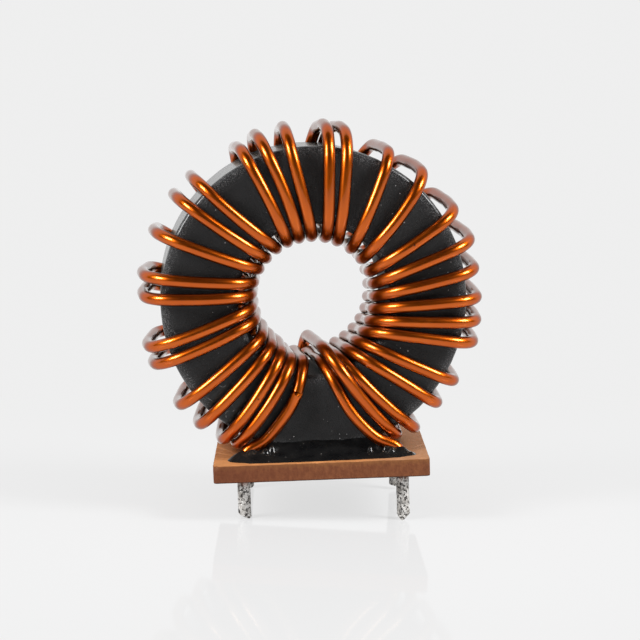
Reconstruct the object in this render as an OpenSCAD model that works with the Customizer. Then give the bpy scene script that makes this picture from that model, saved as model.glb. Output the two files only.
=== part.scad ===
// Vertical toroidal inductor: a coated ring core wound with two enamelled copper
// wires side by side, glued on edge to a small board with four soldered leads.
// The origin is the middle of the board's underside, +Z up, the ring's axis near Y.

/* [Core] */
// Outer diameter of the coated ring
core_od = 47.4; // [44:0.1:52]
// Bore of the coated ring
core_id = 23.5; // [22:0.1:26]
// Height of the ring along its axis
core_h = 18.4; // [15:0.1:22]
// Rounding of the ring's four edges
core_edge = 0.8; // [0.5:0.05:1.2]
// Turn of the ring on the board, about the vertical
core_turn = 3.8; // [0:0.1:6]
// Shift of the ring along the board's width
core_shift = -0.7; // [-1.5:0.1:0.5]
// Space between the ring and the board, filled by adhesive
core_seat = 0.4; // [0.2:0.05:1]

/* [Wire] */
// Diameter of the enamelled wire
wire_d = 1.9; // [1.6:0.05:2.05]
// Clearance between a wire and what it lies on
wire_gap = 0.1; // [0.06:0.01:0.15]
// Bend radius at the crown of a turn's outer crossing
bend_crown = 12; // [8:1:20]
// Bend radius at the edges of the bore
bend_bore = 3; // [2:0.1:3.6]
// Bend radius of the leads
bend_lead = 1.8; // [1.5:0.1:2.4]

/* [Board] */
// Width of the board
board_w = 32.8; // [30:0.1:40]
// Length of the board, front to back
board_l = 32.2; // [31:0.1:40]
// Thickness of the board
board_t = 2.6; // [1.6:0.1:3.2]
// Rounding of the board's upright corners
board_corner = 0.7; // [0.2:0.1:2]

/* [Leads] */
// Distance between the left and right leads
lead_pitch = 24.6; // [23:0.1:26]
// Shift of the lead pattern along the board's width
lead_shift = 0.2; // [-0.5:0.1:0.5]
// Distance of the front leads from the board's middle
lead_front = 11.2; // [10.8:0.1:11.5]
// Distance of the back leads from the board's middle
lead_back = 13.3; // [12.9:0.1:13.8]
// Reach of the front left lead below the board
reach_fl = 6.6; // [4:0.1:9]
// Reach of the front right lead below the board
reach_fr = 7.8; // [4:0.1:9]
// Reach of the back left lead below the board
reach_bl = 7.0; // [4:0.1:9]
// Reach of the back right lead below the board
reach_br = 7.6; // [4:0.1:9]
// Thickness of the solder on a lead
solder_t = 0.07; // [0.05:0.01:0.2]
// Diameter of the holes in the board
lead_hole = 2.4; // [2.2:0.05:2.6]
// Length of the nipped wedge at a lead's tip
tip_wedge = 1; // [0.4:0.1:1.5]

/* [Adhesive] */
// Height that the adhesive climbs up the ring's faces
glue_climb = 2.2; // [1:0.1:4]
// Distance from the front of the ring to the adhesive's front toe
glue_front = 6.2; // [3:0.1:6.5]
// Distance from the back of the ring to the adhesive's back toe
glue_back = 5.4; // [3:0.1:6.5]
// Half width of the adhesive at its front toe
glue_toe = 13.9; // [12:0.1:15]
// Half width of the adhesive at its back toe
glue_back_w = 9.8; // [8:0.1:10]
// Half width of the adhesive at the ring's faces
glue_waist = 10.2; // [10:0.1:11]
// Bond line between the adhesive and what it holds
bond_line = 0.05; // [0.04:0.01:0.08]

/* [Hidden] */
$fn = 64;

wire_sides = 8;
arc_step = 30;
straight_deg = 4;
through = 1;
core_r = core_od / 2;
bore_r = core_id / 2;
wire_r = wire_d / 2;
wire_off = wire_r + wire_gap;
layer = wire_d + wire_gap;
face_y = core_h / 2 + wire_off;
bore_lay = bore_r - wire_off;
rim_lay = core_r + wire_off;
bend_rim = wire_off + core_edge;
// An easy bend at the bore stands a little off the ring, so that it clears the ring's edge
edge_clear = 0.2;
bend_room = (bend_bore - wire_r - core_edge - edge_clear) / sqrt(2);
bore_lift = max(0, bend_bore - wire_off - core_edge - bend_room);
bore_path = bore_lay - bore_lift;
bore_y = face_y + bore_lift;
core_z = board_t + core_seat + core_r;
lead_r = wire_r + solder_t;

// Strands are numbered clockwise from the foot of the ring, as seen from the front.
// Wire b takes the even places and wire a the odd ones; strands 0 and 1 come from
// leads, and the last one lies over the others in the bore.
// Angle of each outer crossing at its front end, from strand 2 on
outer_deg = [239.8, 234.8, 225.4, 215.9, 199.9, 193.8, 176.9,
             169.6, 154.5, 140.8, 132.4, 113.6, 106.5, 97.6,
             83.4, 77, 60.8, 46.6, 29.7, 18, 8.2,
             -2, -10.1, -17.8, -32.8, -42.6, -54.3, -61];
last = len(outer_deg) + 1;
// Turn of each outer crossing from its back end to its front end, from strand 2 on
rim_lean = [0, 0, 0, 0, 0, 0, -1, 0, 1, 1, 1, 2, 2, 2,
            3, 3, 8, 7, 6, 4, 3, 3, 3, 3, 2, 2, 1, 2];
// Height of each outer crossing's crown above the ring, from strand 2 on
crown = [0.5, 1.2, 1.5, 1.7, 1.7, 1.6, 1.5, 1.8, 1.9, 1.9, 1.8, 1.5, 2, 2.1,
         2.2, 2.2, 1.7, 1.6, 1.6, 1.6, 1.5, 1.5, 1.6, 1.5, 1.3, 1.2, 1, 0.2];
// Share of the crown's height that the corners beside it have
crown_share = 0.6;
// Sideways bow of each strand at the middle of the front face, from strand 2 on
strand_bow = [0.45, 0.4, 0.18, 0.1, 0.27, 0.24, 0.1, 0.15, 0.16, 0.15, 0.2, -0.2, -0.4, 0,
              -0.12, -0.2, -0.2, -0.6, -0.22, 0, -0.16, 0, 0, 0.15, 0, 0.16, -0.33, -0.55];
// Extra room, in hand-laid shares, between a strand and the next one in the bore
bore_share = [7, 0.4, 0.4, 0.2, 2.1, 6, 0.5, 0.7, 0.6, 3.2, 1, 2.5, 0.7, 0.1,
              0.7, 2.5, 0.1, 3.7, 2.2, 2.6, 0.3, 0.8, 1.5, 1, 0.2, 0.4, 1.5, 1.6];
// Turn of each strand about the ring's axis on its way back through the bore
bore_lean = [5, 3, 3, 3, 3, 2, 0, 0, 0, 0, 0, 0, 0, 1, 2,
             3, 4, 5, 6, 7, 8, 8, 8, 8, 8, 8, 8, 7, 6, 18];
// Angles in the bore of the first strand, the last but one, and the last
bore_start = 276;
bore_end = -69.3;
bore_over = -80;
// Room between strands laid close together in the bore
strand_gap = 0.1;

function running(list, n) = n == 0 ? 0 : list[n - 1] + running(list, n - 1);
bore_pitch = 2 * asin((wire_d + strand_gap) / 2 / bore_path);
bore_free = (bore_start - bore_end - len(bore_share) * bore_pitch) / running(bore_share, len(bore_share));
function inner_deg(i) = i == last ? bore_over
    : bore_start - i * bore_pitch - running(bore_share, i) * bore_free;
function stacked(i) = i == last ? layer : 0;

// Points about the ring's axis, and their places on the board
function polar(r, a, y) = [r * cos(a), y, r * sin(a)];
function placed(p) = [p.x * cos(core_turn) - p.y * sin(core_turn) + core_shift,
                      p.x * sin(core_turn) + p.y * cos(core_turn), p.z + core_z];
function at(r, a, y, bend) = [placed(polar(r, a, y)), bend];

// Corners of one turn, each a point and the bend radius there
bend_bow = 20;
function corner_lift(i) = crown[i - 2] * crown_share;
function outer_front(i) = at(rim_lay + corner_lift(i), outer_deg[i - 2], -face_y,
                             bend_rim + corner_lift(i));
function bowed(i) = let (m = (polar(rim_lay + corner_lift(i), outer_deg[i - 2], -face_y)
                              + polar(bore_path - stacked(i), inner_deg(i), -bore_y - stacked(i))) / 2,
                         a = atan2(m.z, m.x))
    [placed(m + strand_bow[i - 2] * [-sin(a), 0, cos(a)]), bend_bow];
function inner_front(i) = at(bore_path - stacked(i), inner_deg(i), -bore_y - stacked(i), bend_bore);
function inner_back(i) = at(bore_path - stacked(i), inner_deg(i) - bore_lean[i],
                            bore_y + stacked(i), bend_bore);
function outer_back(i) = at(rim_lay + corner_lift(i), outer_deg[i - 2] + rim_lean[i - 2], face_y,
                            bend_rim + corner_lift(i));
function rim_crown(i) = at(rim_lay + crown[i - 2], outer_deg[i - 2] + rim_lean[i - 2] / 2, 0, bend_crown);
function turn(i) = [outer_back(i), rim_crown(i), outer_front(i), bowed(i), inner_front(i), inner_back(i)];

// Lead places, and the ends of the two wires
lead_left = lead_shift - lead_pitch / 2;
lead_right = lead_shift + lead_pitch / 2;
solder_start = 0.4;
tip_cup = 0.8;
wire_end_z = -solder_start - tip_cup;
function lead(x, y, rise) = [[[x, y, wire_end_z], 0], [[x, y, board_t + rise], bend_lead]];
// The front leads bend just above the board and sweep up the face into strands 1 and 0.
// Each place on the face is a share of the ring's radius and an angle.
front_rise = 1.2;
foot_a = [0.98, -111.5];
knee_a = [0.7, -104];
foot_b = [1.03, -67.5];
knee_b = [0.77, -75];
foot_bend = 3.2;
knee_bend = 16;
function on_face(place, bend, off = 0) = at(core_r * place[0], place[1], -face_y - off, bend);
start_a = concat(lead(lead_left, -lead_front, front_rise),
                 [on_face(foot_a, foot_bend), on_face(knee_a, knee_bend, bore_lift)]);
start_b = concat(lead(lead_right, -lead_front, front_rise),
                 [on_face(foot_b, foot_bend), on_face(knee_b, knee_bend, bore_lift)]);
// The last strands pass over their neighbours on the back face, down to the back leads
end_rise = 5.4;
end_over_deg = -70;
back_layer = face_y + layer + wire_gap;
end_a = [for (k = [1, 0]) lead(lead_left, lead_back, end_rise)[k]];
end_b = concat([at(bore_lay + 2 * layer, end_over_deg, back_layer, bend_lead)],
               [for (k = [1, 0]) lead(lead_right, lead_back, end_rise)[k]]);

wire_a = concat(start_a, [inner_front(1), inner_back(1)],
                [for (i = [3 : 2 : last]) each turn(i)], end_a);
wire_b = concat(start_b, [inner_front(0), inner_back(0)],
                [for (i = [2 : 2 : last]) each turn(i)], end_b);

// Path through corner points, with an arc of the bend radius at each corner
function unit(v) = v / norm(v);
function bend(p, q, s, rho) =
    let (u = unit(p - q), w = unit(s - q), open = acos(max(-1, u * w)), sweep = 180 - open,
         c = q + unit(u + w) * rho / sin(open / 2), cut = rho / tan(open / 2),
         from = q + u * cut - c, to = q + w * cut - c, n = max(1, round(sweep / arc_step)))
    sweep < straight_deg ? [q]
    : [for (k = [0 : n]) c + (sin((n - k) * sweep / n) * from + sin(k * sweep / n) * to) / sin(sweep)];
function path(keys) = let (end = len(keys) - 1)
    [keys[0][0], for (k = [1 : end - 1]) each bend(keys[k - 1][0], keys[k][0], keys[k + 1][0], keys[k][1]),
     keys[end][0]];

// Round tube along a path, its section turned by the direction round the ring
function along(pts, k) = unit(pts[min(k + 1, len(pts) - 1)] - pts[max(k - 1, 0)]);
function round_ring(p) = let (a = atan2(p.z - core_z, p.x - core_shift)) [-sin(a), 0, cos(a)];
function ring(p, t, r) = let (e = round_ring(p), n = unit(e - (e * t) * t), b = cross(t, n))
    [for (s = [0 : wire_sides - 1]) p + r * (cos(360 * s / wire_sides) * n + sin(360 * s / wire_sides) * b)];
module tube(pts, r) {
    m = len(pts);
    points = [for (k = [0 : m - 1]) each ring(pts[k], along(pts, k), r)];
    sides = [for (k = [0 : m - 2], s = [0 : wire_sides - 1])
        let (a = k * wire_sides + s, b = k * wire_sides + (s + 1) % wire_sides)
        each [[a, a + wire_sides, b], [b, a + wire_sides, b + wire_sides]]];
    caps = [[for (s = [0 : wire_sides - 1]) s],
            [for (s = [wire_sides - 1 : -1 : 0]) (m - 1) * wire_sides + s]];
    polyhedron(points = points, faces = concat(sides, caps));
}

// Rectangle with round corners, between two opposite points
module round_rect(low, high, r) {
    translate([low.x + r, low.y]) square([high.x - low.x - 2 * r, high.y - low.y]);
    translate([low.x, low.y + r]) square([high.x - low.x, high.y - low.y - 2 * r]);
    for (x = [low.x + r, high.x - r], y = [low.y + r, high.y - r]) translate([x, y]) circle(r);
}

module on_core_axis() {
    translate([core_shift, 0, core_z]) rotate([0, 0, core_turn]) rotate([90, 0, 0]) children();
}

// Pressed powder ring with an epoxy coat
module core() {
    color([0.13, 0.13, 0.13]) on_core_axis() rotate_extrude()
        round_rect([bore_r, -core_h / 2], [core_r, core_h / 2], core_edge);
}

// First wire, from the front left lead to the back left one
module winding_wire_a() {
    color([0.78, 0.36, 0.1]) tube(path(wire_a), wire_r);
}

// Second wire, from the front right lead to the back right one
module winding_wire_b() {
    color([0.74, 0.33, 0.1]) tube(path(wire_b), wire_r);
}

// Sawn laminate board with a hole for each lead
module base_board() {
    color([0.55, 0.33, 0.17]) difference() {
        linear_extrude(board_t)
            round_rect([-board_w / 2, -board_l / 2], [board_w / 2, board_l / 2], board_corner);
        for (x = [lead_left, lead_right], y = [-lead_front, lead_back])
            translate([x, y, -through]) cylinder(d = lead_hole, h = board_t + 2 * through);
    }
}

// Black potting resin: a fillet along both faces of the ring and a bed under it
module adhesive() {
    front = core_h / 2 + glue_front;
    back = core_h / 2 + glue_back;
    face = core_h / 2;
    steps = 5;
    hollow = 0.55;
    fillet = [for (k = [0 : steps]) let (u = k / steps) [u, glue_climb * u * (1 - hollow + hollow * u)]];
    profile = concat([for (f = fillet) [-front + f[0] * glue_front, f[1]]],
                     [for (k = [steps : -1 : 0]) [back - fillet[k][0] * glue_back, fillet[k][1]]]);
    plan = [[-glue_toe, -front], [glue_toe, -front], [glue_waist, -face], [glue_waist, face],
            [glue_back_w, back], [-glue_back_w, back], [-glue_waist, face], [-glue_waist, -face]];
    held = 3;
    channel_r = wire_r / cos(180 / wire_sides) + bond_line;
    color([0.05, 0.05, 0.05]) difference() {
        translate([core_shift / 2, 0, board_t]) intersection() {
            rotate([90, 0, 90]) linear_extrude(2 * glue_toe, center = true) polygon(profile);
            linear_extrude(2 * glue_climb) polygon(plan);
        }
        on_core_axis() cylinder(r = core_r + bond_line, h = core_h + 2 * bond_line, center = true);
        for (wire = [wire_a, wire_b])
            tube(path([for (k = [0 : held]) wire[k]]), channel_r);
    }
}

// Solder-dipped lead end: a stud with a cup for the wire, nipped to an edge at low, with
// the slopes beside the edge as shares of the wedge
module solder_tip(x, y, reach, low, left_rise, right_rise) {
    edge = 0.12;
    side = [[low - edge, 0], [low + edge, 0], [lead_r, tip_wedge * right_rise], [lead_r, reach],
            [-lead_r, reach], [-lead_r, tip_wedge * left_rise]];
    color([0.72, 0.72, 0.7]) translate([x, y, -reach]) difference() {
        intersection() {
            cylinder(r = lead_r, h = reach - solder_start);
            rotate([90, 0, 0]) linear_extrude(4 * lead_r, center = true) polygon(side);
        }
        translate([0, 0, reach + wire_end_z - bond_line]) cylinder(r = wire_r + bond_line, h = reach);
    }
}
module solder_tip_front_left() solder_tip(lead_left, -lead_front, reach_fl, 0.7, 0.8, 0.2);
module solder_tip_front_right() solder_tip(lead_right, -lead_front, reach_fr, -0.3, 0.9, 1);
module solder_tip_back_left() solder_tip(lead_left, lead_back, reach_bl, 0.3, 0.5, 0.3);
module solder_tip_back_right() solder_tip(lead_right, lead_back, reach_br, 0.4, 0.3, 0.2);

core();
winding_wire_a();
winding_wire_b();
base_board();
adhesive();
solder_tip_front_left();
solder_tip_front_right();
solder_tip_back_left();
solder_tip_back_right();
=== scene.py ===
import math

import bmesh
import bpy
import numpy as np
from mathutils import Matrix, Vector, noise


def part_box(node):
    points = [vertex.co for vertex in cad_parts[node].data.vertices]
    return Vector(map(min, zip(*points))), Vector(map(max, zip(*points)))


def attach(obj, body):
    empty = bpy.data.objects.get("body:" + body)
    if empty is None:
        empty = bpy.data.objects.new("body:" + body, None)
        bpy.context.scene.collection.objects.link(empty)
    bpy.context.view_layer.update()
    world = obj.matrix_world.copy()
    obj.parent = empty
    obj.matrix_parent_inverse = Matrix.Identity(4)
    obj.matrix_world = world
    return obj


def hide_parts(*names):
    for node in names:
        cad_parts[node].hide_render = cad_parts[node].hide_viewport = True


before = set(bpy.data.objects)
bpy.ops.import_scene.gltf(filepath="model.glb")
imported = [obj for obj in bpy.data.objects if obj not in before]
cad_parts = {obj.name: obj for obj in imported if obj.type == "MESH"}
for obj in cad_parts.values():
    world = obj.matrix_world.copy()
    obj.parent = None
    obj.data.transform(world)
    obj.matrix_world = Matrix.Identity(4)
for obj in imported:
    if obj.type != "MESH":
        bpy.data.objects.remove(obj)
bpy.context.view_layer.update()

# Base board
# A square of brown paper laminate, sawn from a sheet and drilled for the four leads.
# The ring stands on it in resin, and the leads come out below it.
MM = 0.001


def box_mm(node):
    """Lowest and highest corner of a node of the frame, in millimetres."""
    return [np.array([float(v) for v in corner]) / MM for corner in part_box(node)]


def ripple(point, size, seed=0.0):
    """Smooth noise between about -1 and 1 whose waves are about as long as size."""
    return noise.noise(Vector([float(v) / size + seed for v in point]))


def new_piece(name, mesh, material, node, sharp_deg=40):
    """Makes one visible piece of the part with its material, hangs it on the root body and hides the node
    that it stands in for.
    """
    mesh.polygons.foreach_set("use_smooth", [True] * len(mesh.polygons))
    mesh.set_sharp_from_angle(angle=math.radians(sharp_deg))
    mesh.materials.append(material)
    piece = bpy.data.objects.new(name, mesh)
    bpy.context.scene.collection.objects.link(piece)
    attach(piece, "root")
    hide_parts(node)
    return piece


board_low, board_high = box_mm("base_board")
board_top = board_high[2]
board_corner, board_corner_parts = 0.7, 6
wall_levels = 15
edge_break = 0.09
# The saw's marks: spacing of the points, depth, sizes of the streaks, and how far proud the cut starts
saw_step = 0.28
saw_depth = 0.045
saw_streak, saw_wave = 0.5, 1.9
saw_proud = 0.2
# Chips in the upper front edge: place along X, width and depth, and how far down the wall they reach
chip_reach = 1.1
edge_chips = [(-16.1, 0.55, 0.5), (15.3, 0.5, 0.28), (3.2, 0.4, 0.1), (-7.5, 0.5, 0.1)]
lead_hole = 2.4
hole_sides = 40
lead_tips = ["solder_tip_front_left", "solder_tip_front_right",
             "solder_tip_back_left", "solder_tip_back_right"]
lead_places = {tip: sum(box_mm(tip))[:2] / 2 for tip in lead_tips}


def rounded_outline(low, high, radius, step, corner_parts):
    """Points round a rectangle with round corners, their outward directions and their ways to a corner."""
    middle_x, middle_y = (low[0] + high[0]) / 2, (low[1] + high[1]) / 2
    arcs = []
    for x, y, start in [(high[0], low[1], -90), (high[0], high[1], 0),
                        (low[0], high[1], 90), (low[0], low[1], 180)]:
        centre = np.array([x - math.copysign(radius, x - middle_x), y - math.copysign(radius, y - middle_y)])
        turns = [math.radians(start + 90 * part / corner_parts) for part in range(corner_parts + 1)]
        directions = [np.array([math.cos(turn), math.sin(turn)]) for turn in turns]
        arcs.append([(centre + radius * direction, direction) for direction in directions])
    points, outward, to_corner = [], [], []
    for arc, following in zip(arcs, arcs[1:] + arcs[:1]):
        for point, direction in arc:
            points.append(point)
            outward.append(direction)
            to_corner.append(0.0)
        first, end = points[-1], following[0][0]
        length = np.linalg.norm(end - first)
        count = int(length / step)
        for part in range(1, count):
            points.append(first + (end - first) * part / count)
            outward.append(outward[-1])
            to_corner.append(min(part, count - part) * length / count)
    return points, outward, to_corner


def sawn_depth(x, y, z):
    """How far the sawn wall lies inside the board's outline."""
    streak = ripple((x, y, z * 0.12), saw_streak) + 0.7 * ripple((x, y, z * 0.5), saw_wave, 4.0)
    depth = saw_depth * (0.9 + streak)
    if y < board_low[1] + 1:
        for place, width, bite in edge_chips:
            near = max(0.0, 1 - abs(x - place) / width)
            depth += bite * near * max(0.0, (z - board_top + chip_reach) / chip_reach) ** 2
    from_edge = min(z - board_foot, board_top - z)
    if from_edge < edge_break:
        depth += (edge_break - from_edge) * (1 + 0.5 * ripple((x, y, z), 1.2, 9.0))
    return max(depth, 0.0)


outline, outline_out, _ = rounded_outline(board_low - saw_proud, board_high + saw_proud,
                                          board_corner, saw_step, board_corner_parts)
board_foot = board_low[2] - saw_proud / 2
heights = [board_foot + (board_top - board_foot) * (1 - math.cos(math.pi * k / wall_levels)) / 2
           for k in range(wall_levels + 1)]
slab = bmesh.new()
wall = []
for z in heights:
    loop = []
    for point, out in zip(outline, outline_out):
        x, y = point - out * sawn_depth(point[0], point[1], z)
        loop.append(slab.verts.new((x * MM, y * MM, z * MM)))
    wall.append(loop)
holes = []
for place in lead_places.values():
    pair = []
    for z in (board_foot, board_top):
        pair.append([slab.verts.new(((place[0] + lead_hole / 2 * math.cos(t)) * MM,
                                     (place[1] + lead_hole / 2 * math.sin(t)) * MM, z * MM))
                     for t in np.linspace(0, 2 * math.pi, hole_sides, endpoint=False)])
    holes.append(pair)
for lower, upper in list(zip(wall, wall[1:])) + holes:
    for k in range(len(lower)):
        after = (k + 1) % len(lower)
        slab.faces.new((lower[k], lower[after], upper[after], upper[k]))
for side in (0, -1):
    rims = [wall[side]] + [pair[side] for pair in holes]
    edges = [slab.edges.get((rim[k], rim[(k + 1) % len(rim)])) for rim in rims for k in range(len(rim))]
    bmesh.ops.triangle_fill(slab, use_beauty=True, edges=edges)
bmesh.ops.recalc_face_normals(slab, faces=slab.faces)
board_mesh = bpy.data.meshes.new("base_board")
slab.to_mesh(board_mesh)
slab.free()


def add_node(tree, kind, values=None, **settings):
    """Adds a shader node. A value is a number or colour, or an output to link to that input."""
    item = tree.nodes.new(kind)
    for name, setting in settings.items():
        setattr(item, name, setting)
    for name, value in (values or {}).items():
        if isinstance(value, bpy.types.NodeSocket):
            tree.links.new(value, item.inputs[name])
        else:
            item.inputs[name].default_value = value
    return item


def mix_colour(tree, share, first, second):
    """Blends two colours or colour outputs by a mask, and gives the output."""
    values = {0: share, 6: first, 7: second}
    return add_node(tree, "ShaderNodeMix", values, data_type="RGBA").outputs[2]


def span(tree, value, low, high, to_low=0.0, to_high=1.0):
    """Stretches the range low to high of a value onto another range, and gives the output."""
    values = {"Value": value, "From Min": low, "From Max": high, "To Min": to_low, "To Max": to_high}
    return add_node(tree, "ShaderNodeMapRange", values).outputs["Result"]


def math_node(tree, operation, first, second=0.0):
    """Does one sum with values or outputs, and gives the output."""
    return add_node(tree, "ShaderNodeMath", {0: first, 1: second}, operation=operation).outputs[0]


def new_group(name, inputs, outputs):
    """Starts a shader node group with named inputs, each with a start value, and mask outputs."""
    group = bpy.data.node_groups.new(name, "ShaderNodeTree")
    for socket, start in inputs.items():
        item = group.interface.new_socket(socket, in_out="INPUT", socket_type="NodeSocketFloat")
        item.default_value = start
    for socket in outputs:
        group.interface.new_socket(socket, in_out="OUTPUT", socket_type="NodeSocketFloat")
    return group, group.nodes.new("NodeGroupInput").outputs, group.nodes.new("NodeGroupOutput").inputs


# Small sharp dots thrown over a surface: dust, flecks, nicks
speck_sharpness = 12.0
specks_group, speck_in, speck_out = new_group(
    "scattered_specks", {"Per Metre": 1500.0, "Size": 0.25, "Share": 0.2}, ["Mask"])
place = add_node(specks_group, "ShaderNodeTexCoord").outputs["Object"]
cells = add_node(specks_group, "ShaderNodeTexVoronoi", {"Vector": place, "Scale": speck_in["Per Metre"]})
lot = add_node(specks_group, "ShaderNodeSeparateColor", {0: cells.outputs["Color"]})
drawn = math_node(specks_group, "LESS_THAN", lot.outputs[0], speck_in["Share"])
reach = math_node(specks_group, "MULTIPLY", lot.outputs[1], speck_in["Size"])
soft = math_node(specks_group, "SUBTRACT", reach, cells.outputs["Distance"])
dot = math_node(specks_group, "MULTIPLY", math_node(specks_group, "MULTIPLY", soft, drawn), speck_sharpness)
clamp = add_node(specks_group, "ShaderNodeClamp", {"Value": dot}).outputs[0]
specks_group.links.new(clamp, speck_out["Mask"])

# Cloudy change over a surface, from coarse patches to fine grain
mottle_group, mottle_in, mottle_out = new_group(
    "mottle", {"Per Metre": 300.0, "Detail": 3.0, "Low": 0.35, "High": 0.65}, ["Mask"])
place = add_node(mottle_group, "ShaderNodeTexCoord").outputs["Object"]
cloud = add_node(mottle_group, "ShaderNodeTexNoise",
                 {"Vector": place, "Scale": mottle_in["Per Metre"], "Detail": mottle_in["Detail"]})
level = span(mottle_group, cloud.outputs[0], mottle_in["Low"], mottle_in["High"])
mottle_group.links.new(level, mottle_out["Mask"])


def grouped(tree, group, **values):
    """Places a node group in a material with its own values, and gives its mask."""
    item = tree.nodes.new("ShaderNodeGroup")
    item.node_tree = group
    for name, value in values.items():
        item.inputs[name.replace("_", " ")].default_value = value
    return item.outputs["Mask"]


def new_material(name):
    """Starts a material, and gives it with its node tree and shader."""
    material = bpy.data.materials.new(name)
    material.use_nodes = True
    return material, material.node_tree, material.node_tree.nodes["Principled BSDF"]


def set_shader(tree, shader, **values):
    """Sets or links inputs of a material's shader, with spaces for underscores."""
    for name, value in values.items():
        socket = shader.inputs[name.replace("_", " ")]
        if isinstance(value, bpy.types.NodeSocket):
            tree.links.new(value, socket)
        else:
            socket.default_value = value


laminate, tree, shader = new_material("sawn_laminate")
place = add_node(tree, "ShaderNodeTexCoord").outputs["Object"]
height = add_node(tree, "ShaderNodeSeparateXYZ", {0: place}).outputs[2]
facing = add_node(tree, "ShaderNodeNewGeometry").outputs["Normal"]
upward = add_node(tree, "ShaderNodeSeparateXYZ", {0: facing}).outputs[2]
stretched = add_node(tree, "ShaderNodeMapping", {"Vector": place, "Scale": (1.0, 1.0, 0.5)}).outputs[0]
streaks = add_node(tree, "ShaderNodeTexNoise", {"Vector": stretched, "Scale": 2300.0, "Detail": 5.0})
streaks = streaks.outputs[0]
edge_brown = mix_colour(tree, span(tree, streaks, 0.38, 0.66),
                        (0.15, 0.047, 0.018, 1), (0.195, 0.066, 0.025, 1))
wavy = math_node(tree, "ADD", height, span(tree, streaks, 0.3, 0.7, -0.00025, 0.00025))
gold_band = span(tree, wavy, board_top * MM - 0.0009, board_top * MM - 0.0002)
gold_band = math_node(tree, "MULTIPLY", gold_band, 0.4)
edge_colour = mix_colour(tree, gold_band, edge_brown, (0.25, 0.105, 0.03, 1))
# Painted shade: the sawn wall is drawn near black along its bottom
painted_shade_foot = span(tree, height, 0.0001, -0.0001)
edge_colour = mix_colour(tree, painted_shade_foot, edge_colour, (0.03, 0.015, 0.009, 1))
across = add_node(tree, "ShaderNodeSeparateXYZ", {0: place}).outputs[0]
# Painted shade: the sawn edge is drawn darker towards the left
edge_colour = mix_colour(tree, span(tree, across, 0.0, -0.014, 0.0, 0.35), edge_colour, (0.1, 0.022, 0.01, 1))
fleck = grouped(tree, specks_group, Per_Metre=4600.0, Size=0.3, Share=0.1)
edge_colour = mix_colour(tree, math_node(tree, "MULTIPLY", fleck, 0.5), edge_colour, (0.4, 0.2, 0.09, 1))
cloudy = grouped(tree, mottle_group, Per_Metre=420.0, Detail=5.0, Low=0.3, High=0.7)
top_colour = mix_colour(tree, cloudy, (0.48, 0.2, 0.066, 1), (0.6, 0.26, 0.095, 1))
# Painted reflection: the top is drawn greyer towards the right
top_colour = mix_colour(tree, span(tree, across, 0.006, 0.012, 0.0, 0.6), top_colour, (0.34, 0.2, 0.125, 1))
surface_colour = mix_colour(tree, span(tree, upward, 0.45, 0.75), edge_colour, top_colour)
fine = grouped(tree, mottle_group, Per_Metre=2600.0, Detail=3.0, Low=0.25, High=0.75)
bump = add_node(tree, "ShaderNodeBump", {"Strength": 0.35, "Distance": 0.0001, "Height": fine})
set_shader(tree, shader, Base_Color=surface_colour, Roughness=span(tree, fine, 0, 1, 0.5, 0.78),
           Specular_IOR_Level=0.2, Normal=bump.outputs[0])
new_piece("base_board_sawn", board_mesh, laminate, "base_board")

# Core
# A ring pressed from magnetic powder, with a charcoal epoxy coat that wears pale at its edges; the pale
# grains on its rim and edges are partly painted sheen.
# It stands on edge on the board, turned a little, and the resin holds its foot.
core_low, core_high = box_mm("core")
core_mid = (core_low + core_high) / 2
core_r = (core_high[2] - core_low[2]) / 2
bore_r = 11.75
core_h = 18.4
core_edge = 0.8
core_turn = math.radians(3.8)
core_round, core_step, core_corner_parts = 480, 0.7, 8
# Lumps and grain of the coat: height and size of each
coat_lump, lump_size = 0.03, 4.5
coat_grain, grain_size = 0.016, 0.9
# Half the width of the ring's section, for the direction in which a lump stands out
section_half = 6
# Pale wear of the coat, partly painted sheen: on the rim, and near an edge, with its reach
rim_wear_and_sheen = 0.9
edge_wear_and_sheen, wear_and_sheen_reach = 0.7, 0.8
# Gloss of the coat on the faces and on the rim, how far inside the rim it grows, and a dull band at the bore
face_gloss, rim_gloss = 0.16, 0.7
gloss_start, gloss_run = 1.2, 0.6
dull_band = 1
# Smear of resin on the front face at the lower left, with its ragged edge and its gloss
smear_place, smear_reach = (-14.1, -15.9), 3.4
smear_ragged, smear_fade = 0.9, 0.6
smear_gloss = 0.8


def on_core_axis(points):
    """Points about the ring's axis, which lies along Y, to places on the board."""
    points = np.asarray(points, float)
    c, s = math.cos(core_turn), math.sin(core_turn)
    x = points[..., 0] * c - points[..., 1] * s
    y = points[..., 0] * s + points[..., 1] * c
    return np.stack([x, y, points[..., 2]], -1) + core_mid


def grid_faces(rows, columns, wrap_rows=False, wrap_columns=False):
    """Quads of a grid of points, row by row."""
    faces = []
    for i in range(rows if wrap_rows else rows - 1):
        for j in range(columns if wrap_columns else columns - 1):
            i2, j2 = (i + 1) % rows, (j + 1) % columns
            faces.append((i * columns + j, i * columns + j2, i2 * columns + j2, i2 * columns + j))
    return faces


def mesh_from(name, points, faces):
    """A mesh from points in millimetres."""
    mesh = bpy.data.meshes.new(name)
    mesh.from_pydata((np.asarray(points) * MM).tolist(), [], faces)
    mesh.update()
    return mesh


def paint(mesh, name, values):
    """Stores a value for each point of a mesh, for its material."""
    mesh.attributes.new(name, "FLOAT", "POINT").data.foreach_set("value", values)


def painted(tree, name):
    """The values that paint stored, as an output."""
    return add_node(tree, "ShaderNodeAttribute", attribute_name=name).outputs["Fac"]


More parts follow.
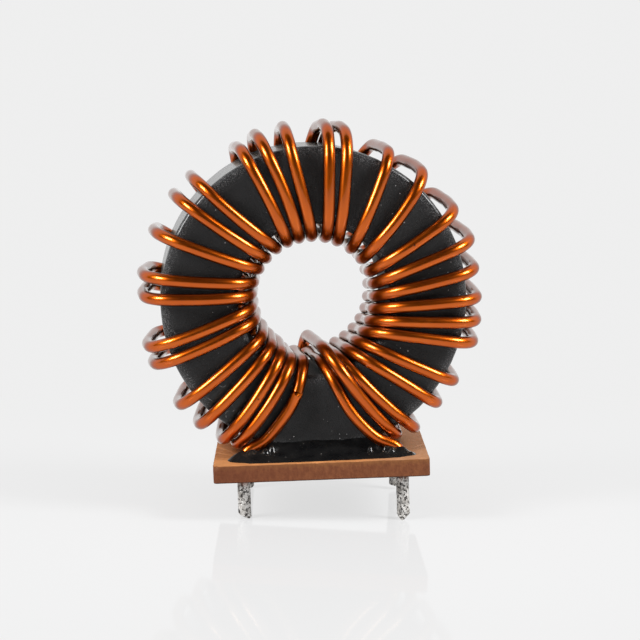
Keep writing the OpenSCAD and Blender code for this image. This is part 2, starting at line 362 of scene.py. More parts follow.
section, _, to_corner = rounded_outline((bore_r, -core_h / 2), (core_r, core_h / 2),
                                        core_edge, core_step, core_corner_parts)
section_wear_and_sheen = [1.0 if away == 0 else edge_wear_and_sheen * math.exp(-((away / wear_and_sheen_reach) ** 2))
                for away in to_corner]
turns = np.linspace(0, 2 * math.pi, core_round, endpoint=False)
core_points, core_wear_and_sheen, core_gloss, core_smear = [], [], [], []
for (r, y), edge in zip(section, section_wear_and_sheen):
    for t in turns:
        point = (r * math.cos(t), y, r * math.sin(t))
        lump = coat_lump * ripple(point, lump_size) + coat_grain * (1 + edge) * ripple(point, grain_size, 3.0)
        share = np.array([(r - (bore_r + core_r) / 2) / section_half, y / core_h * 2])
        share = share / np.linalg.norm(share)
        core_points.append(((r + lump * share[0]) * math.cos(t), y + lump * share[1],
                            (r + lump * share[0]) * math.sin(t)))
        core_wear_and_sheen.append(max(edge, rim_wear_and_sheen if r > core_r - 0.1 else 0.0))
        shine = min(rim_gloss, max(face_gloss, (r - core_r + gloss_start) / gloss_run))
        core_gloss.append(shine if r > bore_r + dull_band else 0.0)
        away = math.hypot(point[0] - smear_place[0], point[2] - smear_place[1])
        away = away + smear_ragged * ripple(point, 1.5, 7.0)
        core_smear.append(min(1.0, max(0.0, (smear_reach - away) / smear_fade)) if y < 0 else 0.0)
core_mesh = mesh_from("core", on_core_axis(core_points), grid_faces(len(section), core_round, True, True))
paint(core_mesh, "edge_wear_and_sheen", core_wear_and_sheen)
paint(core_mesh, "rim_gloss", np.maximum(core_gloss, smear_gloss * np.array(core_smear)))
paint(core_mesh, "resin_smear", core_smear)

core_coat, tree, shader = new_material("charcoal_core_coat")
wear_and_sheen = painted(tree, "edge_wear_and_sheen")
gloss = painted(tree, "rim_gloss")
cloudy = grouped(tree, mottle_group, Per_Metre=260.0, Detail=6.0, Low=0.3, High=0.7)
grain = grouped(tree, mottle_group, Per_Metre=7000.0, Detail=1.0, Low=0.5, High=0.72)
coat_colour = mix_colour(tree, cloudy, (0.0115, 0.0117, 0.0122, 1), (0.0195, 0.0198, 0.0206, 1))
# Pale grains on the rim and edges: worn coat and painted sheen
worn_and_sheen = math_node(tree, "MULTIPLY", wear_and_sheen, grain)
coat_colour = mix_colour(tree, math_node(tree, "MULTIPLY", worn_and_sheen, 0.7), coat_colour, (0.24, 0.245, 0.25, 1))
dust = grouped(tree, specks_group, Per_Metre=1700.0, Size=0.2, Share=0.22)
coat_colour = mix_colour(tree, dust, coat_colour, (0.5, 0.5, 0.5, 1))
# The smear is black and glossy; the thin bright swirls on it are painted highlights
smear = painted(tree, "resin_smear")
coat_colour = mix_colour(tree, smear, coat_colour, (0.004, 0.004, 0.0042, 1))
place = add_node(tree, "ShaderNodeTexCoord").outputs["Object"]
glint_swirl = add_node(tree, "ShaderNodeTexNoise", {"Vector": place, "Scale": 420.0, "Detail": 1.0}).outputs[0]
glint_contour = math_node(tree, "ABSOLUTE", math_node(tree, "SUBTRACT", glint_swirl, 0.5))
painted_glint_line = math_node(tree, "MULTIPLY", span(tree, glint_contour, 0.006, 0.016, 1.0, 0.0), smear)
glint_patches = grouped(tree, mottle_group, Per_Metre=900.0, Detail=2.0, Low=0.48, High=0.6)
painted_glint_line = math_node(tree, "MULTIPLY", painted_glint_line, glint_patches)
coat_colour = mix_colour(tree, painted_glint_line, coat_colour, (0.35, 0.35, 0.34, 1))
bump = add_node(tree, "ShaderNodeBump", {"Strength": 0.45, "Distance": 0.00012, "Height": grain})
set_shader(tree, shader, Base_Color=coat_colour, Roughness=span(tree, grain, 0, 1, 0.42, 0.6),
           Specular_IOR_Level=0.28, Coat_Weight=gloss, Coat_Roughness=0.16, Coat_IOR=1.4,
           Normal=bump.outputs[0])
new_piece("core_ring", core_mesh, core_coat, "core")

# Winding
# Two round copper wires in clear orange-brown enamel, wound side by side by hand through the bore.
# Wire a goes from the front left lead to the back left one, wire b from the front right to the back right.
wire_d = 1.9
wire_r = wire_d / 2
wire_gap = 0.1
wire_off = wire_r + wire_gap
layer = wire_d + wire_gap
face_y = core_h / 2 + wire_off
bore_lay = bore_r - wire_off
rim_lay = core_r + wire_off
bend_rim = wire_off + core_edge
bend_bore = 3
bend_crown = 12
bend_lead = 1.8
# The stiff wire springs off the ring at both ends of a strand, arches between them, and bows in the bore
rim_spring = 0.7
back_spring, back_rise = 0.4, 0.3
bore_spring = 0.55
bore_reach = 0.15
bore_aside = 0.45
arch_places = (-0.4, 0.1)
arch_bend = 18
bore_inward = 0.4
bore_belly, belly_y = 0.62, 1.5
# The first strands lie flat on the floor of the bore
bore_flat = 3
edge_clear = 0.2
bend_room = (bend_bore - wire_r - core_edge - edge_clear) / math.sqrt(2)
bore_lift = max(0, bend_bore - wire_off - core_edge - bend_room)
bore_path = bore_lay - bore_lift
bore_y = face_y + bore_lift
# Outer crossings from strand 2 on: angle at the front, turn on the way to the back, height of the crown
outer_deg = [239.8, 234.8, 225.4, 215.9, 199.9, 193.8, 176.9, 169.6, 154.5, 140.8, 132.4, 113.6, 106.5, 97.6,
             83.4, 77, 60.8, 46.6, 29.7, 18, 8.2, -2, -10.1, -17.8, -32.8, -42.6, -54.3, -61]
rim_lean = [0.5, 1.2, 1.5, 1.5, 1.2, 0.3, -1, 0, 1, 1, 1, 1.5, 1.1, -0.5,
            1.2, 3, 3, 6, 6, 4, 3, 3, 3, 3, 2, 2, 1, 2]
crown = [1.1, 1.7, 2.0, 2.1, 2.2, 2.1, 1.7, 2.0, 2.0, 2.0, 1.8, 1.2, 2, 2.1,
         2.2, 2.1, 1.0, 1.4, 1.3, 1.6, 0.9, 0.9, 1.2, 1.5, 1.0, 0.85, 1.5, 0.2]
crown_share = 0.6
crown_turn, crown_y = 0.4, -2
# Share of the crown's height at the back corner: the loops at the left lie close to the ring there
back_share = [0.1, 0.1, 0.1, 0.1, 0.15, 0.1, 0.1, 0.15, 0.5, 0.6, 0.6, 0.5, 0.4, 0.4,
              0.4, 0.6, 0.6, 0.6, 0.6, 0.6, 0.5, 0.4, 0.4, 0.4, 0.4, 0.4, 0.4, 0.6]
# Sideways bow of each strand at the middle of the front face
strand_bow = [0.45, 0.4, 0.18, 0.1, 0.27, 0.24, 0.1, 0.15, 0.16, 0.15, 0.2, -0.2, -0.4, 0,
              -0.12, -0.2, -0.2, -0.6, -0.22, 0, -0.16, 0, 0, 0.15, 0, 0.16, -0.33, -0.55]
# Height of each strand's arch over the front face; the last strand lies flat on others
strand_spring = [0.9, 1.0, 1.0, 1.0, 0.7, 0.7, 0.7, 0.7, 0.9, 0.9, 0.9, 0.85, 0.8, 0.75,
                 0.7, 0.7, 0.7, 0.7, 0.7, 0.7, 0.7, 0.7, 0.7, 0.7, 0.7, 0.7, 0.7, 0.1]
# Bore: extra room after each strand in shares, turn of each strand on its way back, end angles
bore_share = [7, 0.4, 0.4, 0.2, 2.1, 6, 0.5, 0.7, 0.6, 3.2, 1, 2.5, 0.7, 0.1,
              0.7, 2.5, 0.1, 3.7, 2.2, 2.6, 0.3, 0.8, 1.5, 1, 0.2, 0.4, 1.5, 1.6]
bore_lean = [5, 3, 3, 3, 3, 2, 1, 1, 1, 1, 0, -1, -2, -2, -2,
             -2, -1.5, 0.5, 3.5, 7.5, 11.5, 14, 14.4, 12.9, 11.7, 11.2, 10.5, 9, 7.5, 11]
bore_start, bore_end, bore_over = 276, -69.3, -80
bore_pitch = 2 * math.degrees(math.asin(layer / 2 / bore_path))
bore_free = (bore_start - bore_end - len(bore_share) * bore_pitch) / sum(bore_share)
last = len(outer_deg) + 1


def key(radius, degrees, depth, bend):
    """A corner of a wire, about the ring's axis, with the bend radius there."""
    a = math.radians(degrees)
    return on_core_axis((radius * math.cos(a), depth, radius * math.sin(a))), bend


def widest_bend(out, forward):
    """Widest bend round the ring's edge at a corner held off its two sides."""
    a, b, touch = bend_rim + out, bend_rim + forward, wire_r + core_edge + wire_gap
    return a + b - touch + math.sqrt(2 * (a - touch) * (b - touch))


def through_bore(i):
    """Front corner, belly and back corner of a strand in the bore. The last one lies over the others."""
    over = layer if i == last else 0
    angle = bore_over if i == last else bore_start - i * bore_pitch - sum(bore_share[:i]) * bore_free
    belly = 0 if i < bore_flat else bore_belly * (1 - math.cos(math.radians(angle)))
    inward = 0 if i < bore_flat else bore_inward
    spring = bore_lift + bore_spring
    drawn = spring + bore_reach + bore_aside * math.cos(math.radians(angle))
    front = bore_lay - drawn - over, angle, -face_y - spring - over, widest_bend(drawn, spring)
    return [key(*front), key(bore_path - over - belly, angle - bore_lean[i] / 2, belly_y, bend_crown),
            key(bore_path - over - inward, angle - bore_lean[i], bore_y + over, bend_bore)]


def whole_turn(i):
    """Corners of a turn: back of the rim, its crown, front of the rim, the arched strand, and the bore."""
    angle, lean, top, bow = outer_deg[i - 2], rim_lean[i - 2], crown[i - 2], strand_bow[i - 2]
    lift, back_lift = top * crown_share, top * back_share[i - 2]
    rim = key(rim_lay + lift, angle, -face_y - rim_spring, widest_bend(lift, rim_spring))
    bore = through_bore(i)
    middle, half = (rim[0] + bore[0][0]) / 2, (bore[0][0] - rim[0]) / 2
    turned = math.atan2(middle[2] - core_mid[2], middle[0] - core_mid[0])
    offset = bow * np.array([-math.sin(turned), 0, math.cos(turned)]) - (0, strand_spring[i - 2], 0)
    arch = [(middle + place * half + (1 - place ** 2) * offset, arch_bend) for place in arch_places]
    back = key(rim_lay + back_lift + back_rise, angle + lean, face_y + back_spring,
               widest_bend(back_lift + back_rise, back_spring))
    return [back, key(rim_lay + top, angle + lean * crown_turn, crown_y, bend_crown), rim] + arch + bore


wire_end_z = -1.2
front_rise, end_rise = 1.2, 5.4
foot_bend, knee_bend = 4, 16
back_layer = face_y + layer + wire_gap
# Foot and knee of each wire's first leg on the front face, and its last corner on the back face
foot_a, knee_a = (0.98 * core_r, -111.5, -face_y), (0.7 * core_r, -104, -bore_y)
foot_b, knee_b = (core_r, -68, -face_y - 1.6), (0.77 * core_r, -75, -bore_y - 1.3)
end_a, end_b = (bore_lay + layer, -94, bore_y + layer), (bore_lay + 2 * layer, -70, back_layer)


def lead_keys(tip, rise):
    """Lower end of a lead and the corner where it bends away above the board."""
    x, y = lead_places[tip]
    return [(np.array([x, y, wire_end_z]), 0), (np.array([x, y, board_top + rise]), bend_lead)]


wire_keys = {
    "winding_wire_a": lead_keys("solder_tip_front_left", front_rise)
    + [key(*foot_a, foot_bend), key(*knee_a, knee_bend)]
    + through_bore(1) + [corner for i in range(3, last + 1, 2) for corner in whole_turn(i)]
    + [key(*end_a, bend_lead)]
    + lead_keys("solder_tip_back_left", end_rise)[::-1],
    "winding_wire_b": lead_keys("solder_tip_front_right", front_rise)
    + [key(*foot_b, foot_bend), key(*knee_b, knee_bend)]
    + through_bore(0) + [corner for i in range(2, last + 1, 2) for corner in whole_turn(i)]
    + [key(*end_b, bend_lead)]
    + lead_keys("solder_tip_back_right", end_rise)[::-1],
}
path_step = 0.1
ring_step = 0.3
wire_sides = 22
straight = math.radians(4)
slack_sigma = 1.0
wander, wander_size = 0.04, 7
skin_swell, swell_size = 0.008, 2.5


def unit(v):
    """A direction of length 1."""
    return v / np.linalg.norm(v)


def rounded_path(keys):
    """Points along a wire, with an arc of the bend radius at each corner."""
    points = [keys[0][0]]
    for (before, _), (corner, radius), (after, _) in zip(keys, keys[1:], keys[2:]):
        u, w = unit(before - corner), unit(after - corner)
        opening = math.acos(float(np.clip(u @ w, -1, 1)))
        sweep = math.pi - opening
        if sweep < straight:
            points.append(corner)
            continue
        centre = corner + unit(u + w) * radius / math.sin(opening / 2)
        cut = radius / math.tan(opening / 2)
        start, end = corner + u * cut - centre, corner + w * cut - centre
        count = max(2, int(sweep * radius / path_step))
        for part in range(count + 1):
            t = part / count
            from_centre = math.sin((1 - t) * sweep) * start + math.sin(t * sweep) * end
            points.append(centre + from_centre / math.sin(sweep))
    points.append(keys[-1][0])
    return np.array(points)


def spaced(points, step):
    """Points at an even step along a path."""
    run = np.concatenate([[0], np.cumsum(np.linalg.norm(np.diff(points, axis=0), axis=1))])
    places = np.linspace(0, run[-1], int(run[-1] / step) + 1)
    return np.stack([np.interp(places, run, points[:, k]) for k in range(3)], -1)


def slackened(points, step, sigma):
    """A path with its bends eased, as springy wire does, and its ends kept."""
    reach = int(3 * sigma / step)
    kernel = np.exp(-0.5 * (np.arange(-reach, reach + 1) * step / sigma) ** 2)
    kernel /= kernel.sum()
    first = 2 * points[0] - points[reach:0:-1]
    final = 2 * points[-1] - points[-2:-reach - 2:-1]
    padded = np.concatenate([first, points, final])
    return np.stack([np.convolve(padded[:, k], kernel, "valid") for k in range(3)], -1)


def swept_tube(name, points, radius, sides, seed):
    """A round tube along points, with closed ends and a slightly uneven skin."""
    along = np.gradient(points, axis=0)
    along /= np.linalg.norm(along, axis=1)[:, None]
    normal = np.cross(along[0], (0.0, 1.0, 0.0))
    normals = []
    for direction in along:
        normal = unit(normal - (normal @ direction) * direction)
        normals.append(normal)
    normals = np.array(normals)
    binormals = np.cross(along, normals)
    angle = np.linspace(0, 2 * math.pi, sides, endpoint=False)
    swell = np.array([1 + skin_swell * ripple(p, swell_size, seed) for p in points])
    rings = points[:, None] + radius * swell[:, None, None] * (
        np.cos(angle)[None, :, None] * normals[:, None] + np.sin(angle)[None, :, None] * binormals[:, None])
    faces = grid_faces(len(points), sides, wrap_columns=True)
    faces.append(tuple(range(sides - 1, -1, -1)))
    faces.append(tuple((len(points) - 1) * sides + k for k in range(sides)))
    return mesh_from(name, rings.reshape(-1, 3), faces)


enamel, tree, shader = new_material("enamelled_copper_wire")
cloudy = grouped(tree, mottle_group, Per_Metre=180.0, Detail=4.0, Low=0.3, High=0.7)
fine = grouped(tree, mottle_group, Per_Metre=1300.0, Detail=3.0, Low=0.3, High=0.7)
copper = mix_colour(tree, cloudy, (0.67, 0.13, 0.008, 1), (0.58, 0.102, 0.006, 1))
nick = grouped(tree, specks_group, Per_Metre=520.0, Size=0.12, Share=0.25)
copper = mix_colour(tree, nick, copper, (0.05, 0.015, 0.008, 1))
# Light that skims the wire crosses more enamel, so the sides of the wire look darker
skimming = add_node(tree, "ShaderNodeLayerWeight", {"Blend": 0.5}).outputs["Facing"]
copper = mix_colour(tree, span(tree, skimming, 0.55, 0.9, 0.0, 0.6), copper, (0.1, 0.035, 0.015, 1))
# In reflections the copper is painted duller and browner, a painted reflection, so that the sides facing
# other wires stay brown
mirrored = add_node(tree, "ShaderNodeLightPath").outputs["Is Glossy Ray"]
copper = mix_colour(tree, mirrored, copper, (0.36, 0.24, 0.16, 1))
set_shader(tree, shader, Base_Color=copper, Metallic=1.0, Roughness=span(tree, fine, 0, 1, 0.29, 0.33),
           Specular_Tint=(0.5, 0.38, 0.33, 1), Coat_Weight=1.0, Coat_Roughness=0.04, Coat_IOR=1.31)
for seed, (node, keys) in enumerate(wire_keys.items()):
    run = slackened(spaced(rounded_path(keys), path_step), path_step, slack_sigma)
    run = spaced(run, ring_step)
    drift = np.array([[wander * ripple((k * ring_step / wander_size, seed * 31.0, axis * 17.0), 1.0)
                       for axis in range(3)] for k in range(len(run))])
    new_piece(node + "_enamel", swept_tube(node, run + drift, wire_r, wire_sides, seed * 5.0),
              enamel, node)

# Resin
# Black potting resin, poured along the foot of the ring and left glossy.
# It fills the gap to the board, climbs both faces and covers the front leads where they rise.
glue_low, glue_high = box_mm("adhesive")
glue_climb = glue_high[2] - board_top
glue_front, glue_back = 6.2, 5.4
glue_hollow = 0.55
glue_step = 0.18
glue_bond = 0.02
glue_dip = 0.06
edge_rise = 1.1
# Waves of the skin: at the outline, over the fillet and over the mounds
edge_wave, fillet_wave, mound_wave = 0.25, 0.12, 0.1
# Swell of the fillet's slope, swell of the joint between a mound and the fillet, and width of that joint
fillet_swell, mound_swell, mound_blend = 0.3, 0.3, 1.2
# Beads: how steep they are, and how far they and their gloss reach, in shares of their radius
bead_slope, bead_reach, bead_shine = 0.7, 1.3, 1.5
# Outline of the resin on the board, with a tip at the left and a tail at the right of the front
glue_plan = [(-14.2, -12.3), (-10.8, -15.1), (-5, -15.2), (5, -15), (12.1, -14.5), (14.7, -12.8),
             (12.4, -10.6), (9.9, -8.6), (9.9, 9), (9.4, 14.4), (-10.1, 14.4), (-10.6, 9),
             (-10.6, -8.6), (-13, -10.6)]
# Mounds over the front leads and lumps beside them: place, height and radius
glue_mounds = [(-11.8, -11.6, 1.2, 2.6), (-10.6, -11.7, 1.7, 1.6), (-8.4, -11.8, 1.45, 1.5),
               (-6.9, -11.0, 1.9, 1.2), (12.1, -11.7, 1.3, 1.9), (10.9, -11.8, 1.4, 1.4),
               (9.1, -11.0, 1.7, 1.3), (13.6, -12.2, 0.5, 1.1)]
# Small glossy beads where the resin ran off the wires: place, height and radius
glue_beads = [(-11.2, -12.5, 1.35, 0.6), (-10.7, -12.9, 1.0, 0.45), (-8.5, -12.3, 1.75, 0.55),
              (-7.5, -11.7, 2.1, 0.45), (10.9, -12.6, 1.25, 0.5), (10.1, -12.3, 1.5, 0.45),
              (7.6, -12.3, 1.5, 0.35), (13.9, -12.7, 0.45, 0.5)]


def inside_plan(x, y):
    """Distance from a place on the board to the resin's outline, above zero inside it."""
    near, crossings = np.full_like(x, 1e9), np.zeros_like(x)
    for (x1, y1), (x2, y2) in zip(glue_plan, glue_plan[1:] + glue_plan[:1]):
        t = np.clip(((x - x1) * (x2 - x1) + (y - y1) * (y2 - y1)) / ((x2 - x1) ** 2 + (y2 - y1) ** 2), 0, 1)
        near = np.minimum(near, np.hypot(x - x1 - t * (x2 - x1), y - y1 - t * (y2 - y1)))
        if y1 != y2:
            spans = (y1 > y) != (y2 > y)
            crossings += spans & (x < x1 + (y - y1) * (x2 - x1) / (y2 - y1))
    return np.where(crossings % 2 == 1, near, -near)


def glue_heights(x, y):
    """Height of the resin's skin above the board."""
    cloud = np.vectorize(lambda a, b: ripple((a, b, 0), 3.6) + 0.5 * ripple((a, b, 0), 1.3, 5.0))(x, y)
    local_x = (x - core_mid[0]) * math.cos(core_turn) + y * math.sin(core_turn)
    local_y = -(x - core_mid[0]) * math.sin(core_turn) + y * math.cos(core_turn)
    edge = inside_plan(x, y) + edge_wave * cloud
    off_face = np.abs(local_y) - core_h / 2
    u = np.clip(1 - off_face / np.where(local_y < 0, glue_front, glue_back), 0, 1)
    fillet = glue_climb * u * (1 - glue_hollow + glue_hollow * u) + fillet_swell * np.sqrt(u) * (1 - u)
    height = np.minimum(edge_rise * edge, fillet * (1 + fillet_wave * cloud))
    for bead_x, bead_y, top, radius in glue_beads:
        bead = top - bead_slope * ((x - bead_x) ** 2 + (y - bead_y) ** 2) / radius
        near = np.hypot(x - bead_x, y - bead_y) < bead_reach * radius
        height = np.where(near, np.maximum(height, bead), height)
    for mound_x, mound_y, top, radius in glue_mounds:
        mound = top * (1 - ((x - mound_x) ** 2 + (y - mound_y) ** 2) / radius ** 2) * (1 + mound_wave * cloud)
        blend = np.clip(0.5 + (mound - height) / mound_blend, 0, 1)
        height = height + (mound - height) * blend + mound_swell * blend * (1 - blend)
    under = core_mid[2] - np.sqrt(np.maximum(core_r ** 2 - local_x ** 2, 0)) - board_top - glue_bond
    height = np.where(off_face < 0.05, np.minimum(height, under), height)
    return np.maximum(height, -glue_dip)


glue_x = np.arange(glue_low[0] - 0.6, glue_high[0] + 1.6, glue_step)
glue_y = np.arange(glue_low[1] - 0.4, glue_high[1] + 0.4, glue_step)
grid_x, grid_y = np.meshgrid(glue_x, glue_y)
grid_z = glue_heights(grid_x, grid_y)
glue_top = np.stack([grid_x, grid_y, board_top + grid_z], -1).reshape(-1, 3)
glue_bed = glue_top * (1, 1, 0) + (0, 0, board_top - glue_dip - glue_bond)
proud = grid_z.ravel() > -glue_dip
sheet = [face for face in grid_faces(len(glue_y), len(glue_x)) if any(proud[v] for v in face)]
count = len(glue_top)
sides = dict.fromkeys(side for face in sheet for side in zip(face, face[1:] + face[:1]))
rim = [(a, b) for a, b in sides if (b, a) not in sides]
faces = sheet + [tuple(count + v for v in reversed(face)) for face in sheet]
faces += [(b, a, count + a, count + b) for a, b in rim]
used = sorted({v for face in faces for v in face})
renumber = {v: k for k, v in enumerate(used)}
glue_points = np.concatenate([glue_top, glue_bed])[used]
glue_mesh = mesh_from("adhesive", glue_points, [tuple(renumber[v] for v in face) for face in faces])
beaded = np.zeros(len(glue_points))
for bead_x, bead_y, top, radius in glue_beads:
    off_bead = np.hypot(glue_points[:, 0] - bead_x, glue_points[:, 1] - bead_y)
    beaded = np.maximum(beaded, off_bead < bead_shine * radius)
paint(glue_mesh, "bead", beaded)

resin, tree, shader = new_material("black_potting_resin")
cloudy = grouped(tree, mottle_group, Per_Metre=500.0, Detail=4.0, Low=0.3, High=0.7)
resin_black = mix_colour(tree, cloudy, (0.004, 0.004, 0.0044, 1), (0.009, 0.0088, 0.0088, 1))
dust = grouped(tree, specks_group, Per_Metre=1100.0, Size=0.13, Share=0.2)
resin_black = mix_colour(tree, dust, resin_black, (0.35, 0.33, 0.3, 1))
bump = add_node(tree, "ShaderNodeBump", {"Strength": 0.3, "Distance": 0.0004, "Height": cloudy})
bead = painted(tree, "bead")
set_shader(tree, shader, Base_Color=resin_black, Roughness=span(tree, cloudy, 0, 1, 0.24, 0.42),
           Specular_IOR_Level=0.22, Coat_Weight=bead, Coat_Roughness=0.06, Normal=bump.outputs[0])
new_piece("adhesive_fillet", glue_mesh, resin, "adhesive", 60)

# Solder tips
# The ends of the leads, dipped in solder below the board and nipped off to a wedge.
# The dip leaves a lumpy skin of tin, mottled dark and pale.
tip_sides, tip_levels, tip_rings = 36, 34, 6
tip_wedge = 1.0
tip_edge = 0.12
tip_shoulder = 0.1
solder_lump, solder_lump_size = 0.035, 0.9
cut_lump, cut_lump_size = 0.04, 0.5
# Wedge of each tip: place of its edge along X, and slopes to its left and right
tip_wedges = {"solder_tip_front_left": (0.7, 0.8, 0.2), "solder_tip_front_right": (-0.3, 0.9, 1.0),
              "solder_tip_back_left": (0.3, 0.5, 0.3), "solder_tip_back_right": (0.4, 0.3, 0.2)}

tin, tree, shader = new_material("dipped_solder")
cloudy = grouped(tree, mottle_group, Per_Metre=900.0, Detail=4.0, Low=0.35, High=0.6)
fine = grouped(tree, mottle_group, Per_Metre=2500.0, Detail=3.0, Low=0.38, High=0.52)
tin_colour = mix_colour(tree, cloudy, (0.4, 0.375, 0.34, 1), (0.75, 0.73, 0.7, 1))
tin_colour = mix_colour(tree, fine, (0.035, 0.03, 0.027, 1), tin_colour)
# Bare copper shows in streaks at the top, where the solder did not reach
place = add_node(tree, "ShaderNodeTexCoord").outputs["Object"]
height = add_node(tree, "ShaderNodeSeparateXYZ", {0: place}).outputs[2]
stretched = add_node(tree, "ShaderNodeMapping", {"Vector": place, "Scale": (1.0, 1.0, 0.12)}).outputs[0]
streaks = add_node(tree, "ShaderNodeTexNoise", {"Vector": stretched, "Scale": 2600.0, "Detail": 2.0})
streaks = streaks.outputs[0]
bare = math_node(tree, "MULTIPLY", span(tree, streaks, 0.46, 0.56), span(tree, height, -0.0018, -0.0006))
tin_colour = mix_colour(tree, bare, tin_colour, (0.22, 0.07, 0.025, 1))
bump = add_node(tree, "ShaderNodeBump", {"Strength": 0.6, "Distance": 0.00015, "Height": fine})
set_shader(tree, shader, Base_Color=tin_colour, Metallic=0.35, Roughness=span(tree, cloudy, 0, 1, 0.45, 0.25),
           Normal=bump.outputs[0])
for tip, (low, left_rise, right_rise) in tip_wedges.items():
    tip_low, tip_high = box_mm(tip)
    tip_mid = (tip_low + tip_high) / 2
    tip_r = (tip_high[1] - tip_low[1]) / 2
    angles = np.linspace(0, 2 * math.pi, tip_sides, endpoint=False)
    profile_x = [-tip_r, low - tip_edge, low + tip_edge, tip_r]
    profile_z = [tip_wedge * left_rise, 0, 0, tip_wedge * right_rise]
    points = []
    for level in range(tip_levels):
        t = level / (tip_levels - 1)
        shoulder = 1 - tip_shoulder * max(0.0, 1 - t * 10) ** 2
        for a in angles:
            x, y = tip_r * math.cos(a), tip_r * math.sin(a)
            foot = tip_low[2] + float(np.interp(x, profile_x, profile_z))
            z = tip_high[2] + (foot - tip_high[2]) * t
            lump = solder_lump * (ripple((x, y, z + tip_mid[0]), solder_lump_size) - 0.6)
            swell = shoulder * (1 + lump * min(1, 4 * (1 - t) + 0.3))
            points.append((tip_mid[0] + x * swell, tip_mid[1] + y * swell, z))
    for ring in range(1, tip_rings):
        shrink = 1 - ring / tip_rings
        for a in angles:
            x, y = tip_r * shrink * math.cos(a), tip_r * shrink * math.sin(a)
            foot = tip_low[2] + float(np.interp(x, profile_x, profile_z))
            lump = cut_lump * ripple((x, y, 0), cut_lump_size)
            points.append((tip_mid[0] + x, tip_mid[1] + y, foot + lump))
    rows = tip_levels + tip_rings - 1
    faces = [tuple(reversed(face)) for face in grid_faces(rows, tip_sides, wrap_columns=True)]
    faces.append(tuple(range(tip_sides)))
    faces.append(tuple(reversed([(rows - 1) * tip_sides + k for k in range(tip_sides)])))
    new_piece(tip + "_dipped", mesh_from(tip, points, faces), tin, tip, 50)

# Studio
# A pale glossy table under the leads, two soft lamps high at the left and right, and a dark
# room round the camera, which the wires and the resin reflect.
scene = bpy.context.scene
paper_white = 0.86
world = bpy.data.worlds.new("studio_world")
scene.world = world
world.use_nodes = True
tree = world.node_tree
rays = add_node(tree, "ShaderNodeLightPath").outputs


def seen_directly(tree, rays):
    """1 for rays of the camera, reflections and glass, 0 for those that light the part."""
    seen = math_node(tree, "ADD", rays["Is Camera Ray"], rays["Is Glossy Ray"])
    seen = math_node(tree, "ADD", seen, rays["Is Transmission Ray"])
    return math_node(tree, "MINIMUM", seen, 1.0)


fill_light = 0.35
strength = span(tree, seen_directly(tree, rays), 0, 1, fill_light, paper_white)
tree.links.new(strength, tree.nodes["Background"].inputs["Strength"])
tree.nodes["Background"].inputs["Color"].default_value = (1, 1, 1, 1)

# The table is a large square, sloped a little so that three of the four leads stand on it
floor_half = 2.5
floor_x, floor_y, floor_z = -0.0121, -0.011, -0.0066
slope_x, slope_y = -0.0488, -0.0166
floor_points = [(x, y, floor_z + slope_x * (x - floor_x) + slope_y * (y - floor_y))
                for x, y in [(-floor_half, -floor_half), (floor_half, -floor_half),
                             (floor_half, floor_half), (-floor_half, floor_half)]]
floor_mesh = bpy.data.meshes.new("table")
floor_mesh.from_pydata(floor_points, [], [(0, 1, 2, 3)])
floor_mesh.update()
table = bpy.data.objects.new("table", floor_mesh)
scene.collection.objects.link(table)
table_top, tree, shader = new_material("pale_table")
set_shader(tree, shader, Base_Color=(0.84, 0.845, 0.855, 1), Roughness=0.05, Specular_IOR_Level=0.9)
place = add_node(tree, "ShaderNodeTexCoord").outputs["Object"]
distance = add_node(tree, "ShaderNodeVectorMath", {0: place}, operation="LENGTH").outputs["Value"]
rays = add_node(tree, "ShaderNodeLightPath").outputs
far = math_node(tree, "MULTIPLY", span(tree, distance, 0.02, 0.13, 0.7, 1.0), seen_directly(tree, rays))
glow = add_node(tree, "ShaderNodeEmission", {"Color": (1, 1, 1, 1), "Strength": paper_white})
blend = add_node(tree, "ShaderNodeMixShader", {0: far, 1: shader.outputs[0], 2: glow.outputs[0]})
tree.links.new(blend.outputs[0], tree.nodes["Material Output"].inputs["Surface"])
floor_mesh.materials.append(table_top)

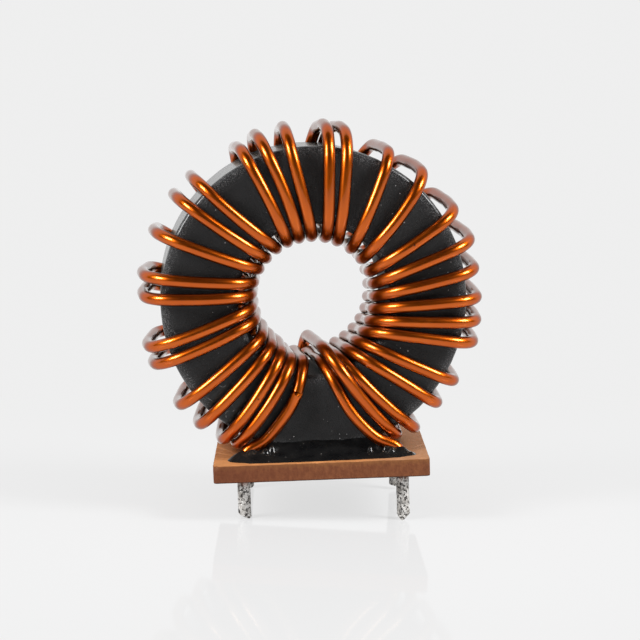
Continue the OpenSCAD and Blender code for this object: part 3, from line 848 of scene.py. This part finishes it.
# The dark room is a box of cards, open at the back and at the bottom, that only reflections see
room_x, room_front, room_back, room_low, room_high = 0.9, -0.62, 0.15, 0.02, 1.0
room_points = [(x, y, z) for z in (room_low, room_high) for y in (room_front, room_back)
               for x in (-room_x, room_x)]
room_mesh = bpy.data.meshes.new("dark_room")
room_mesh.from_pydata(room_points, [], [(0, 1, 5, 4), (0, 2, 6, 4), (1, 3, 7, 5), (4, 5, 7, 6)])
room_mesh.update()
room = bpy.data.objects.new("dark_room", room_mesh)
scene.collection.objects.link(room)
room_black, tree, shader = new_material("dark_room")
set_shader(tree, shader, Base_Color=(0.03, 0.03, 0.03, 1), Roughness=0.9)
room_mesh.materials.append(room_black)
room.visible_camera = False
room.visible_diffuse = False
room.visible_shadow = False

lamp_aim = Vector((0, 0, 0.026))
lamp_size, lamp_watts = 0.2, 2.6


def soft_lamp(name, place):
    """A square soft lamp that looks at the ring's middle."""
    data = bpy.data.lights.new(name, "AREA")
    data.shape = "SQUARE"
    data.size = lamp_size
    data.energy = lamp_watts
    lamp = bpy.data.objects.new(name, data)
    lamp.location = place
    aim = lamp_aim - Vector(place)
    lamp.rotation_euler = aim.to_track_quat("-Z", "Y").to_euler()
    scene.collection.objects.link(lamp)


soft_lamp("lamp_left", (-0.4, -0.25, 0.3))
soft_lamp("lamp_right", (0.41, -0.18, 0.33))

# Camera, placed by a fit to the ring's two rims and the board's corners
camera_data = bpy.data.cameras.new("camera")
camera_data.sensor_width = 36
camera_data.lens = 113.197
camera_data.clip_start = 0.01
camera = bpy.data.objects.new("camera", camera_data)
scene.collection.objects.link(camera)
forward = unit(np.array([0.011651, 0.991979, -0.125863]))
camera_roll = math.radians(-2.04)
level_right = unit(np.array([forward[1], -forward[0], 0.0]))
level_up = np.cross(level_right, forward)
right = math.cos(camera_roll) * level_right + math.sin(camera_roll) * level_up
up = -math.sin(camera_roll) * level_right + math.cos(camera_roll) * level_up
camera_place = np.array([-2.983, -317.436, 62.697]) * MM
camera.matrix_world = Matrix(np.stack([right, up, -forward, camera_place], -1).tolist() + [[0, 0, 0, 1]])
scene.camera = camera

scene.view_settings.view_transform = "Standard"
